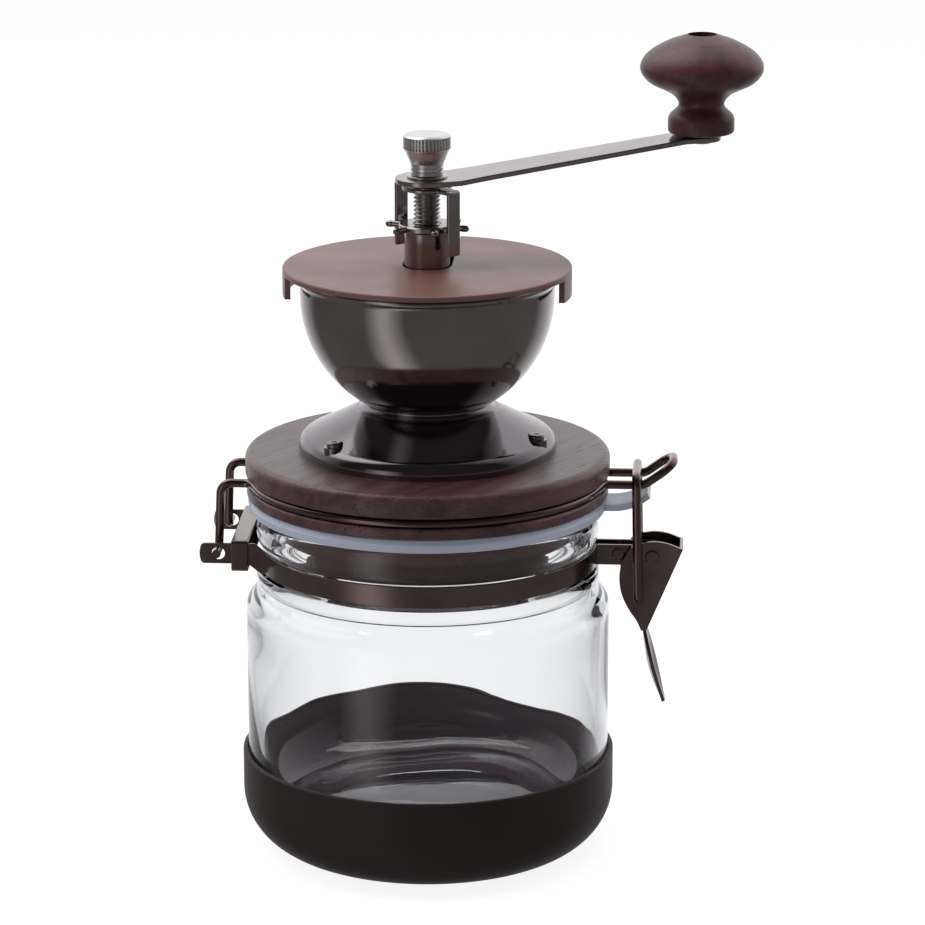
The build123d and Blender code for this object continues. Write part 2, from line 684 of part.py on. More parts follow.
def flanged_bush(low, high, flange_low, flange_high):
    """A plastic spindle bearing with a flange on one end."""
    with BuildPart() as piece:
        with BuildSketch(Plane.XY.offset(low)):
            Circle(HUB_BORE - 0.02)
        extrude(amount=high - low)
        with BuildSketch(Plane.XY.offset(flange_low)):
            Circle(HUB_RADIUS)
        extrude(amount=flange_high - flange_low)
        with BuildSketch(Plane.XY.offset(min(low, flange_low))):
            Circle(SPINDLE_RADIUS + 0.06)
        extrude(amount=max(high, flange_high) - min(low, flange_low), mode=Mode.SUBTRACT)
    return piece


upper_bush = flanged_bush(156.0, HUB_Z[1], HUB_Z[1], HUB_Z[1] + 2.8)
save(upper_bush, "upper_bush")
lower_bush = flanged_bush(HUB_Z[0], 142.0, HUB_Z[0] - 0.3, HUB_Z[0])
save(lower_bush, "lower_bush")

# ---------------------------------------------------------------- spindle, adjusting nut and stopper
thread_turns = int((THREAD_Z[1] - THREAD_Z[0]) / THREAD_PITCH)
with BuildPart() as spindle:
    with BuildSketch(Plane.XZ):
        with BuildLine():
            thread = [(0.0, SPINDLE_Z[0]), (SPINDLE_RADIUS, SPINDLE_Z[0])]
            for turn in range(thread_turns):
                base = THREAD_Z[0] + turn * THREAD_PITCH
                thread.append((SPINDLE_RADIUS, base))
                thread.append((SPINDLE_RADIUS - THREAD_DEPTH, base + THREAD_PITCH / 2))
            thread.append((SPINDLE_RADIUS, THREAD_Z[0] + thread_turns * THREAD_PITCH))
            thread.append((SPINDLE_RADIUS, SPINDLE_Z[1]))
            thread.append((0.0, SPINDLE_Z[1]))
            Polyline(*thread, close=True)
        make_face()
    revolve(axis=Axis.Z)
save(spindle, "spindle")

with BuildPart() as adjusting_nut:
    with BuildSketch(Plane.XY.offset(NUT_Z[0])):
        Circle(NUT_SLEEVE_RADIUS)
    extrude(amount=NUT_Z[1] - NUT_Z[0])
    with BuildSketch(Plane.XY.offset(NUT_Z[1])):
        Circle(8.4)
        with PolarLocations(0, NUT_PRONGS, start_angle=NUT_PRONG_AZIMUTH):
            with Locations((NUT_PRONG_REACH / 2, 0)):
                SlotOverall(NUT_PRONG_REACH, NUT_PRONG_WIDTH)
    extrude(amount=NUT_Z[2] - NUT_Z[1])
    with BuildSketch(Plane.XY.offset(NUT_Z[0])):
        Circle(SPINDLE_RADIUS + 0.06)
    extrude(amount=NUT_Z[2] - NUT_Z[0], mode=Mode.SUBTRACT)
save(adjusting_nut, "adjusting_nut")

stopper_plane = Plane(
    origin=(0, 0, 0), x_dir=(*polar(1, STOPPER_AZIMUTH), 0), z_dir=(0, 0, 1)
)
with BuildPart() as nut_stopper:
    with BuildSketch(stopper_plane.offset(STOPPER_TOP_Z - STOPPER_SHEET)):
        Rectangle(2 * STOPPER_REACH, STOPPER_WIDTH)
        Circle(7.4)
        Circle(SPINDLE_RADIUS + 0.05, mode=Mode.SUBTRACT)
    extrude(amount=STOPPER_SHEET)
    with BuildSketch(stopper_plane.offset(STOPPER_FOOT_Z)):
        with Locations((STOPPER_REACH - STOPPER_SHEET / 2, 0), (STOPPER_SHEET / 2 - STOPPER_REACH, 0)):
            Rectangle(STOPPER_SHEET, STOPPER_WIDTH)
    extrude(amount=STOPPER_TOP_Z - STOPPER_FOOT_Z)
    folds = nut_stopper.edges().filter_by(lambda e: abs(e.length - STOPPER_WIDTH) < 0.01)
    fillet(folds.group_by(Axis.Z)[-1], 1.0)
save(nut_stopper, "nut_stopper")

# ---------------------------------------------------------------- crank arm, knob and cap nut
arm_x = (*polar(1, ARM_AZIMUTH), 0)
arm_top = Plane(origin=(0, 0, 0), x_dir=arm_x, z_dir=(0, 0, 1))
arm_side = Plane(origin=(0, 0, 0), x_dir=arm_x, z_dir=(arm_x[1], -arm_x[0], 0))
knob_x, knob_y = polar(ARM_REACH, ARM_AZIMUTH)
arm_end = ARM_REACH + ARM_KNOB_END + 1
bend_shift = 0.1
with BuildPart() as crank_arm:
    with BuildSketch(arm_side.offset(-12)):
        with BuildLine():
            low, high = ARM_Z
            Polyline(
                (-12, low), (ARM_RISE_FROM, low), (ARM_RISE_TO, high), (arm_end, high),
                (arm_end, high + ARM_THICKNESS), (ARM_RISE_TO - bend_shift, high + ARM_THICKNESS),
                (ARM_RISE_FROM - bend_shift, low + ARM_THICKNESS), (-12, low + ARM_THICKNESS),
                close=True,
            )
        make_face()
    extrude(amount=24)
    with BuildSketch(arm_top.offset(190)):
        with BuildLine():
            Polyline((0, -ARM_HUB), (16, -ARM_HUB * 0.82), (ARM_REACH, -ARM_KNOB_END))
            ThreePointArc(
                (ARM_REACH, -ARM_KNOB_END), (ARM_REACH + ARM_KNOB_END, 0), (ARM_REACH, ARM_KNOB_END)
            )
            Polyline((ARM_REACH, ARM_KNOB_END), (16, ARM_HUB * 0.82), (0, ARM_HUB))
            ThreePointArc((0, ARM_HUB), (-ARM_HUB, 0), (0, -ARM_HUB))
        make_face()
        Circle(SPINDLE_RADIUS + 0.05, mode=Mode.SUBTRACT)
        with Locations((ARM_REACH, 0)):
            Circle(KNOB_PIN_RADIUS, mode=Mode.SUBTRACT)
    extrude(amount=40, mode=Mode.INTERSECT)
save(crank_arm, "crank_arm")

arm_seat = ARM_Z[0] + ARM_THICKNESS
cap_washer = ring(SPINDLE_RADIUS + 0.05, 6.0, arm_seat, arm_seat + 0.6)
save(cap_washer, "cap_washer")

cap_base = arm_seat + 0.65
cap_bore = SPINDLE_RADIUS + 0.06
cap_bore_top = SPINDLE_Z[1] + 0.3
with BuildPart() as cap_nut:
    with BuildSketch(Plane.XZ):
        with BuildLine():
            Polyline(
                (0, CAP_TOP_Z), (CAP_RADIUS - 0.6, CAP_TOP_Z), (CAP_RADIUS, CAP_TOP_Z - 0.6),
                (CAP_RADIUS, CAP_KNURL_Z), (CAP_COLLAR, CAP_COLLAR_Z), (CAP_COLLAR, cap_base),
                (cap_bore, cap_base), (cap_bore, cap_bore_top), (0, cap_bore_top), close=True,
            )
        make_face()
    revolve(axis=Axis.Z)
    with BuildSketch(Plane.XY.offset(CAP_KNURL_Z + 0.2)):
        with PolarLocations(CAP_RADIUS + 0.1, CAP_KNURLS):
            Rectangle(0.7, 0.5)
    extrude(amount=CAP_TOP_Z - CAP_KNURL_Z - 0.8, mode=Mode.SUBTRACT)
save(cap_nut, "cap_nut")

with BuildPart() as knob_pin:
    with BuildSketch(Plane.XY.offset(ARM_Z[1] - PIN_FOOT)):
        with Locations((knob_x, knob_y)):
            Circle(3.4)
    extrude(amount=PIN_FOOT)
    with BuildSketch(Plane.XY.offset(ARM_Z[1])):
        with Locations((knob_x, knob_y)):
            Circle(KNOB_PIN_RADIUS)
    extrude(amount=PIN_HEAD_Z[0] - ARM_Z[1])
    with BuildSketch(Plane.XY.offset(PIN_HEAD_Z[0])):
        with Locations((knob_x, knob_y)):
            Circle(3.9)
    extrude(amount=PIN_HEAD_Z[1] - PIN_HEAD_Z[0])
    ends = knob_pin.edges().filter_by(GeomType.CIRCLE).group_by(Axis.Z)
    fillet(ends[0] + ends[-1], 0.5)
save(knob_pin, "knob_pin")

washer_low = ARM_Z[1] + ARM_THICKNESS
with BuildPart() as knob_washer:
    with BuildSketch(Plane.XY.offset(washer_low)):
        with Locations((knob_x, knob_y)):
            Circle(5.6)
            Circle(KNOB_PIN_RADIUS + 0.05, mode=Mode.SUBTRACT)
    extrude(amount=KNOB_WASHER)
save(knob_washer, "knob_washer")

knob_axis = Axis((knob_x, knob_y, 0), (0, 0, 1))
knob_plane = Plane(origin=(knob_x, knob_y, KNOB_BASE_Z), x_dir=(1, 0, 0), z_dir=(0, -1, 0))
recess_floor = PIN_HEAD_Z[0] - KNOB_BASE_Z - 0.2
pin_bore = KNOB_PIN_RADIUS + FIT
with BuildPart() as knob:
    with BuildSketch(knob_plane):
        with BuildLine():
            Polyline(
                (4.3, 29.4), (4.3, recess_floor), (pin_bore, recess_floor), (pin_bore, 0), (9.0, 0),
            )
            ThreePointArc((9.0, 0), (9.6, 0.3), (9.9, 1.0))
            Line((9.9, 1.0), (9.9, 3.6))
            Spline(
                (9.9, 3.6), (8.9, 6.0), (6.8, 8.4), (8.3, 11.2), (11.6, 13.2),
                tangents=((0, 1), (2, 1)),
            )
            Spline(
                (11.6, 13.2), (15.6, 15.2), (18.3, 19.1), (15.4, 24.3), (10.8, 27.0), (4.3, 29.4),
                tangents=((2, 1), (-3, 1)),
            )
        make_face()
    revolve(axis=knob_axis)
save(knob, "knob")

# ---------------------------------------------------------------- hopper lid
with BuildPart() as hopper_lid:
    with BuildSketch(Plane.XY.offset(HOPPER_LID_Z[0])):
        Circle(HOPPER_LID_RADIUS)
    extrude(amount=HOPPER_LID_Z[1] - HOPPER_LID_Z[0])
    with BuildSketch(Plane.XY.offset(HOPPER_LID_Z[0] - HOPPER_TAB_DROP)):
        Circle(HOPPER_LID_RADIUS)
        Circle(HOPPER_LID_RADIUS - HOPPER_TAB_SHEET, mode=Mode.SUBTRACT)
        Rectangle(2 * HOPPER_LID_RADIUS, HOPPER_TAB_WIDTH, mode=Mode.INTERSECT)
    extrude(amount=HOPPER_TAB_DROP)
    top_edge = hopper_lid.edges().filter_by(GeomType.CIRCLE).group_by(Axis.Z)[-1]
    fillet(top_edge, 0.6)
    with BuildSketch(Plane.XY.offset(HOPPER_LID_Z[0])):
        Circle(HOPPER_SLOT_HALF)
        with Locations((0, HOPPER_LID_RADIUS / 2)):
            Rectangle(2 * HOPPER_SLOT_HALF, HOPPER_LID_RADIUS + 2)
    extrude(amount=HOPPER_LID_Z[1] - HOPPER_LID_Z[0], mode=Mode.SUBTRACT)
save(hopper_lid, "hopper_lid")

# ---------------------------------------------------------------- latch lever and bail
web_length = sqrt((WEB_TOP[0] - WEB_FOOT[0]) ** 2 + (WEB_TOP[1] - WEB_FOOT[1]) ** 2)
web_dir = ((WEB_TOP[0] - WEB_FOOT[0]) / web_length, (WEB_TOP[1] - WEB_FOOT[1]) / web_length)
leaf_length = sqrt((LEAF_TOP[0] - LEAF_TIP[0]) ** 2 + (LEAF_TOP[1] - LEAF_TIP[1]) ** 2)
leaf_dir = ((LEAF_TIP[0] - LEAF_TOP[0]) / leaf_length, 0, (LEAF_TIP[1] - LEAF_TOP[1]) / leaf_length)
leaf_plane = Plane(origin=(LEAF_TOP[0], 0, LEAF_TOP[1]), x_dir=(0, 1, 0), z_dir=leaf_dir)

with BuildPart() as thumb_leaf:
    for share, half, dish in LEAF_SECTIONS:
        with BuildSketch(leaf_plane.offset(share * leaf_length)):
            with BuildLine():
                ThreePointArc((-half, 0), (0, -dish), (half, 0))
                Line((half, 0), (half, -SHEET))
                ThreePointArc((half, -SHEET), (0, -dish - SHEET), (-half, -SHEET))
                Line((-half, -SHEET), (-half, 0))
            make_face()
    loft()

with BuildPart() as latch_lever:
    for side in (-1, 1):
        with BuildSketch(Plane.XZ.offset(side * LEVER_HALF)):
            with BuildLine():
                Spline(
                    WEB_TOP, (73.0, 95.7), (68.8, 96.6), (64.3, 96.1), (60.9, 94.6),
                    tangents=((-1, 0.3), (-1, -0.8)),
                )
                Spline(
                    (60.9, 94.6), (57.8, 88.1), (57.6, 84.2), (58.9, 78.6), (61.6, 73.8),
                    (64.2, WEB_FOOT[1]), tangents=((-0.6, -1), (0.4, -1)),
                )
                Polyline((64.2, WEB_FOOT[1]), WEB_FOOT, WEB_TOP)
            make_face()
            with Locations((PIVOT_X, PIVOT_Z)):
                Circle(LEVER_PIN_RADIUS + FIT, mode=Mode.SUBTRACT)
            with Locations(BAIL_PIVOT):
                Circle(BAIL_RADIUS + FIT, mode=Mode.SUBTRACT)
        extrude(amount=-side * SHEET)
    with BuildSketch(Plane.XZ.offset(-LEVER_HALF)):
        with BuildLine():
            Polyline(
                WEB_TOP,
                WEB_FOOT,
                (WEB_FOOT[0] - SHEET * web_dir[1], WEB_FOOT[1] + SHEET * web_dir[0]),
                (WEB_TOP[0] - SHEET * web_dir[1], WEB_TOP[1] + SHEET * web_dir[0]),
                close=True,
            )
        make_face()
    extrude(amount=2 * LEVER_HALF)
    add(thumb_leaf.part)
save(latch_lever, "latch_lever")

bail_route = [
    (BAIL_PIVOT[0], -LEVER_HALF + 1.7, BAIL_PIVOT[1]),
    (BAIL_PIVOT[0], -BAIL_HALF, BAIL_PIVOT[1]),
    (BAIL_TOP[0], -BAIL_HALF, BAIL_TOP[1]),
    (BAIL_TOP[0], BAIL_HALF, BAIL_TOP[1]),
    (BAIL_PIVOT[0], BAIL_HALF, BAIL_PIVOT[1]),
    (BAIL_PIVOT[0], LEVER_HALF - 1.7, BAIL_PIVOT[1]),
]
with BuildPart() as latch_bail:
    with BuildLine():
        FilletPolyline(*bail_route, radius=2.9)
    with BuildSketch(Plane(origin=bail_route[0], z_dir=(0, -1, 0))):
        Circle(BAIL_RADIUS)
    sweep()
save(latch_bail, "latch_bail")
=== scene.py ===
"""Looks of the hand crank coffee grinder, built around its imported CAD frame.

The frame is in metres, +Z up, with the origin at the centre of the face the canister stands on.
Outlines of turned pieces are written in millimetres, as (radius, height), and scaled on the way in.
"""
import json
from math import cos, floor, pi, radians, sin

import bmesh
import bpy
from mathutils import Matrix, Vector


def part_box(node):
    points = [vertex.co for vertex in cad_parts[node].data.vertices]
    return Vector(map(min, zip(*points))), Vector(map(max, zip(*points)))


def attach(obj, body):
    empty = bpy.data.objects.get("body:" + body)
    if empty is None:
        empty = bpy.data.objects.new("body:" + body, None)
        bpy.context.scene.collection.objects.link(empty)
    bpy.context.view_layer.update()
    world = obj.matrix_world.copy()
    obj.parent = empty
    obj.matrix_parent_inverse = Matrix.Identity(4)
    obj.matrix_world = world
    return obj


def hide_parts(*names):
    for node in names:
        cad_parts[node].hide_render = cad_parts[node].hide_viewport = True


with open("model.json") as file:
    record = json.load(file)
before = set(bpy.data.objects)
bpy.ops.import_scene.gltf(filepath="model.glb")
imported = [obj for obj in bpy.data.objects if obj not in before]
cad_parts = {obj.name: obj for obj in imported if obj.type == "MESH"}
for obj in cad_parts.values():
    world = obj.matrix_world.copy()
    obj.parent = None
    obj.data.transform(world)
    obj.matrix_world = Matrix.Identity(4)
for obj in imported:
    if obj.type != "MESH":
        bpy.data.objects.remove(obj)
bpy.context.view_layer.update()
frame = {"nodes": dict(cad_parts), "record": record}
nodes = frame["nodes"]
node_body = {
    node: body for body, members in frame["record"]["behaviour"]["bodies"].items() for node in members
}
node_slot = {part["node"]: part["material_slot"] for part in frame["record"]["subparts"]}

MM = 0.001

# ---------------------------------------------------------------- sizes, in millimetres
EASED_EDGES = {                     # the edge rounding of each pressed or cut piece
    "band_front": 0.22, "band_rear": 0.22, "hinge_loop": 0.3, "latch_lever": 0.25,
    "crank_arm": 0.3, "nut_stopper": 0.4, "cap_washer": 0.12,
}
EASED_STEPS = 2                     # faces across a rounded edge
SHARP_EDGE = 30                     # degrees of bend from which a CAD edge is rounded
FLAT_EDGE = 0.4                     # degrees of bend below which two CAD faces are one
WELD_GAP = 0.002                    # CAD corners closer than this are one corner
ON_AXIS = 1e-6                      # a point of an outline with less radius lies on the axis
NUT_TURN = -15.0                    # azimuth of the adjusting nut's first prong, in degrees
PLUG_TOP = 109.3                    # the wood below this height is the plug in the jar's neck, which gets painted light
BOOT_FLAT = 37.5                    # radius of the boot's flat foot, where its round corner starts
BOOT_CORNER = 18.5                  # outer radius of that corner
BOOT_RIM = 29.6                     # height just below the boot's rim
BOOT_SKIN = 0.7                     # what lies deeper than this in the boot is its inside, which gets painted light

# ---------------------------------------------------------------- camera and studio
CAMERA_PLACE = (0.0836, -1.1968, 0.4429)
CAMERA_PITCH = 15.14                # degrees below the horizon
CAMERA_TURN = 3.5                   # degrees to the left of straight back
CAMERA_LENS = 162.3                 # focal length and sensor width, in millimetres
SENSOR = 36.0
STRIP_TURN = radians(36)            # the strip light stands this far to the left of the front
STRIP_HALF = 0.045                  # sine of the angle that it fills to each side
STRIP_EDGE = 7 * STRIP_HALF         # and of the angle where its soft edge has faded out
STRIP_GLOW = (0.72, 0.69, 0.68)
GLOW_AIM = (-0.48, 0.28, 0.83)      # the big soft box above, to the left and a little behind
GLOW_LIGHT = (1.9, 1.9, 1.9)
TABLE_FRONT = (0.15, 0.138, 0.14)   # what mirrored rays meet below the horizon
TABLE_BACK = (0.95, 0.95, 0.97)
SKY_FRONT = (0.05, 0.045, 0.045)    # and above it
SKY_BACK = (1.0, 1.0, 1.02)
PAPER_HALF = 6.0                    # half the side of the paper floor, in metres
PAPER_SHADE = 0.11                  # how much lamp light the paper gives back, and its own light
PAPER_GLOW = 0.89


def make_camera():
    """A long lens from slightly above and slightly right of the front."""
    data = bpy.data.cameras.new("camera")
    data.lens = CAMERA_LENS
    data.sensor_width = SENSOR
    data.clip_end = 20.0
    camera = bpy.data.objects.new("camera", data)
    camera.location = CAMERA_PLACE
    camera.rotation_euler = (radians(90 - CAMERA_PITCH), 0, radians(CAMERA_TURN))
    bpy.context.scene.collection.objects.link(camera)
    bpy.context.scene.camera = camera


def area_light(name, place, aim, size, power, through_glass=False):
    """A soft box aimed at a place. It isn't mirrored, and shows in glass only if through_glass is set."""
    data = bpy.data.lights.new(name, "AREA")
    data.shape = "RECTANGLE"
    data.size, data.size_y = size
    data.energy = power
    lamp = bpy.data.objects.new(name, data)
    lamp.location = place
    lamp.visible_glossy = False
    lamp.visible_transmission = through_glass
    lamp.rotation_mode = "QUATERNION"
    lamp.rotation_quaternion = (Vector(aim) - Vector(place)).to_track_quat("-Z", "Y")
    bpy.context.scene.collection.objects.link(lamp)


# ---------------------------------------------------------------- node helpers
def add_node(tree, kind, inputs=(), **settings):
    """A shader node with its settings and input values."""
    made = tree.nodes.new("ShaderNode" + kind)
    for key, value in settings.items():
        setattr(made, key, value)
    for key, value in dict(inputs).items():
        if isinstance(value, bpy.types.NodeSocket):
            tree.links.new(value, made.inputs[key])
        else:
            made.inputs[key].default_value = value
    return made


def new_material(name, colour, roughness, **shader):
    """A Principled material, its tree and its shader. Other sockets go by name, as in coat_weight=0.4."""
    material = bpy.data.materials.new(name)
    material.use_nodes = True
    tree = material.node_tree
    surface = tree.nodes["Principled BSDF"]
    surface.inputs["Base Color"].default_value = (*colour, 1.0)
    surface.inputs["Roughness"].default_value = roughness
    for key, value in shader.items():
        surface.inputs[key.replace("_", " ").title().replace("Ior", "IOR")].default_value = value
    return material, tree, surface


def place_on(tree, scale=(1, 1, 1), turn=(0, 0, 0)):
    """Coordinates fixed to the piece, turned and then stretched."""
    source = add_node(tree, "TexCoord")
    turned = add_node(tree, "Mapping", {"Vector": source.outputs["Object"], "Rotation": turn})
    stretched = add_node(tree, "Mapping", {"Vector": turned.outputs["Vector"], "Scale": scale})
    return stretched.outputs["Vector"]


def noise(tree, where, scale, detail=3.0, roughness=0.55, distortion=0.0):
    """Noise from 0 to 1."""
    inputs = {"Vector": where, "Scale": scale, "Detail": detail, "Roughness": roughness,
              "Distortion": distortion}
    return add_node(tree, "TexNoise", inputs).outputs["Fac"]


def spread(tree, value, low, high, to_low=0.0, to_high=1.0):
    """Maps a value from one range to another and clamps it."""
    inputs = {"Value": value, "From Min": low, "From Max": high, "To Min": to_low, "To Max": to_high}
    return add_node(tree, "MapRange", inputs).outputs["Result"]


def blend_colours(tree, share, first, second):
    """Two colours mixed by a share. Each of the three is a value or a socket."""
    mixer = add_node(tree, "Mix", data_type="RGBA")
    factor, colour_a, colour_b = (mixer.inputs[place] for place in (0, 6, 7))
    for socket, value in ((factor, share), (colour_a, first), (colour_b, second)):
        if isinstance(value, bpy.types.NodeSocket):
            tree.links.new(value, socket)
        elif isinstance(value, (int, float)):
            socket.default_value = value
        else:
            socket.default_value = (*value, 1.0)
    return mixer.outputs[2]


def combine(tree, operation, first, second):
    """Arithmetic on two values or sockets."""
    return add_node(tree, "Math", {0: first, 1: second}, operation=operation).outputs[0]


def set_bump(tree, surface, height, strength, depth):
    """Bump of a real depth in metres."""
    bump = add_node(tree, "Bump", {"Height": height, "Strength": strength, "Distance": depth})
    tree.links.new(bump.outputs["Normal"], surface.inputs["Normal"])


# ---------------------------------------------------------------- materials
def plated_metal(name, colour, worn, roughness, smudge, streak, edge, **shader):
    """Plated metal: cloudy smudges, fine polishing lines and a paler, worn colour along its edges."""
    material, tree, surface = new_material(name, colour, roughness, metallic=1.0, **shader)
    clouds = noise(tree, place_on(tree), scale=60.0, detail=4.0)
    lines = noise(tree, place_on(tree, streak), scale=60.0, roughness=0.7)
    rough = combine(tree, "ADD", spread(tree, clouds, 0.35, 0.7, roughness, roughness + smudge),
                    spread(tree, lines, 0.4, 0.8, 0.0, smudge * 0.6))
    tree.links.new(rough, surface.inputs["Roughness"])
    ridge = add_node(tree, "NewGeometry").outputs["Pointiness"]
    patches = spread(tree, clouds, 0.3, 0.6, 0.4, 1.0)
    wear = combine(tree, "MULTIPLY", spread(tree, ridge, 0.52, 0.6), patches)
    base = blend_colours(tree, spread(tree, clouds, 0.3, 0.75, 0.0, 0.25), colour, worn)
    base = blend_colours(tree, combine(tree, "MULTIPLY", wear, edge), base, worn)
    tree.links.new(base, surface.inputs["Base Color"])
    set_bump(tree, surface, lines, strength=0.25, depth=0.00004)
    return material


def radius_and_height(tree):
    """How far a point lies from the grinder's axis and above its foot."""
    parts = add_node(tree, "SeparateXYZ", {"Vector": add_node(tree, "TexCoord").outputs["Object"]})
    flat = add_node(tree, "CombineXYZ", {"X": parts.outputs["X"], "Y": parts.outputs["Y"]})
    radius = add_node(tree, "VectorMath", {0: flat.outputs["Vector"]}, operation="LENGTH")
    return radius.outputs["Value"], parts.outputs["Z"]


def boot_painted_light_mask(tree):
    """1 on the faces of the boot that hold the glass, which get a painted light, 0 on its outside."""
    radius, height = radius_and_height(tree)
    across = combine(tree, "MAXIMUM", combine(tree, "SUBTRACT", radius, BOOT_FLAT * MM), 0.0)
    down = combine(tree, "MAXIMUM", combine(tree, "SUBTRACT", BOOT_CORNER * MM, height), 0.0)
    offset = add_node(tree, "CombineXYZ", {"X": across, "Y": down}).outputs["Vector"]
    reach = add_node(tree, "VectorMath", {0: offset}, operation="LENGTH").outputs["Value"]
    below_rim = combine(tree, "LESS_THAN", height, BOOT_RIM * MM)
    deep = combine(tree, "LESS_THAN", reach, (BOOT_CORNER - BOOT_SKIN) * MM)
    return combine(tree, "MULTIPLY", deep, below_rim)


def grained_wood(name, dark, light, turn, roughness, coat, pore_gap, pore_depth, painted_plug_light=None):
    """Stained open-pored wood: growth bands, fine fibres and short dark pores along one direction.

    The pores are sized in metres. The last argument is a paler painted light on the plug below PLUG_TOP,
    where the lid and gasket shade it.
    """
    material, tree, surface = new_material(name, dark, roughness, coat_weight=coat, coat_roughness=0.32)
    along = place_on(tree, (0.08, 1, 1), turn)
    wander = noise(tree, along, scale=60.0, detail=2.0)
    bands = noise(tree, along, scale=140.0, detail=4.0, distortion=0.8)
    fibres = noise(tree, place_on(tree, (0.03, 1, 1), turn), scale=1500.0, roughness=0.65)
    cell_inputs = {"Vector": place_on(tree, (0.11, 1, 1), turn), "Scale": 1 / pore_gap, "Randomness": 1.0}
    cells = add_node(tree, "TexVoronoi", cell_inputs, feature="F1").outputs["Distance"]
    patches = spread(tree, wander, 0.38, 0.6, 0.2, 1.0)
    pore = combine(tree, "MULTIPLY", spread(tree, cells, 0.32, 0.14), patches)
    base = blend_colours(tree, spread(tree, bands, 0.35, 0.68), dark, light)
    base = blend_colours(tree, spread(tree, fibres, 0.3, 0.7, 0.0, 0.5), base, dark)
    base = blend_colours(tree, combine(tree, "MULTIPLY", pore, 0.6), base, [c * 0.2 for c in dark])
    if painted_plug_light:
        # painted light: the shaded plug is mixed towards a paler colour
        plug = combine(tree, "LESS_THAN", radius_and_height(tree)[1], PLUG_TOP * MM)
        base = blend_colours(tree, combine(tree, "MULTIPLY", plug, 0.7), base, painted_plug_light)
    tree.links.new(base, surface.inputs["Base Color"])
    rough = spread(tree, fibres, 0.3, 0.7, roughness - 0.06, roughness + 0.12)
    tree.links.new(rough, surface.inputs["Roughness"])
    height = combine(tree, "SUBTRACT", spread(tree, fibres, 0.2, 0.8, 0.0, 0.25), pore)
    bump = add_node(tree, "Bump", {"Height": height, "Strength": 0.8, "Distance": pore_depth})
    tree.links.new(bump.outputs["Normal"], surface.inputs["Normal"])
    tree.links.new(bump.outputs["Normal"], surface.inputs["Coat Normal"])
    return material


def moulded(name, colour, lighter, roughness, grain=1600.0, depth=0.00003, inside=None, **shader):
    """Moulded plastic or rubber: a fine matt grain, slight clouds and, for the boot, painted light on its
    inside faces.
    """
    material, tree, surface = new_material(name, colour, roughness, **shader)
    clouds = noise(tree, place_on(tree), scale=45.0, detail=4.0)
    fine = noise(tree, place_on(tree), scale=grain, roughness=0.6)
    base = blend_colours(tree, spread(tree, clouds, 0.3, 0.7, 0.0, 0.6), colour, lighter)
    if inside:
        # painted light: the faces behind the glass get a paler, purplish colour in place of the light that
        # reaches them through it
        base = blend_colours(tree, boot_painted_light_mask(tree), base, inside)
    tree.links.new(base, surface.inputs["Base Color"])
    rough = spread(tree, clouds, 0.3, 0.7, roughness - 0.04, roughness + 0.06)
    tree.links.new(rough, surface.inputs["Roughness"])
    set_bump(tree, surface, fine, strength=0.4, depth=depth)
    return material


def pressed_glass(name):
    """Clear pressed glass with a faint cool tint and slow waves in its faces.

    Shadow rays pass it, so that the lamps light what is behind it.
    """
    material, tree, surface = new_material(name, (1.0, 1.0, 1.0), 0.0, transmission_weight=1.0, ior=1.5)
    waves = noise(tree, place_on(tree, (1, 1, 0.6)), scale=60.0, detail=1.0)
    set_bump(tree, surface, waves, strength=0.4, depth=0.0002)
    tint = add_node(tree, "VolumeAbsorption", {"Color": (0.42, 0.50, 0.56, 1.0), "Density": 30.0})
    tree.links.new(tint.outputs["Volume"], tree.nodes["Material Output"].inputs["Volume"])
    lit_through = add_node(tree, "BsdfTransparent", {"Color": (0.9, 0.9, 0.9, 1.0)})
    shadow_ray = add_node(tree, "LightPath").outputs["Is Shadow Ray"]
    either = add_node(tree, "MixShader",
                      {0: shadow_ray, 1: surface.outputs["BSDF"], 2: lit_through.outputs["BSDF"]})
    tree.links.new(either.outputs["Shader"], tree.nodes["Material Output"].inputs["Surface"])
    return material


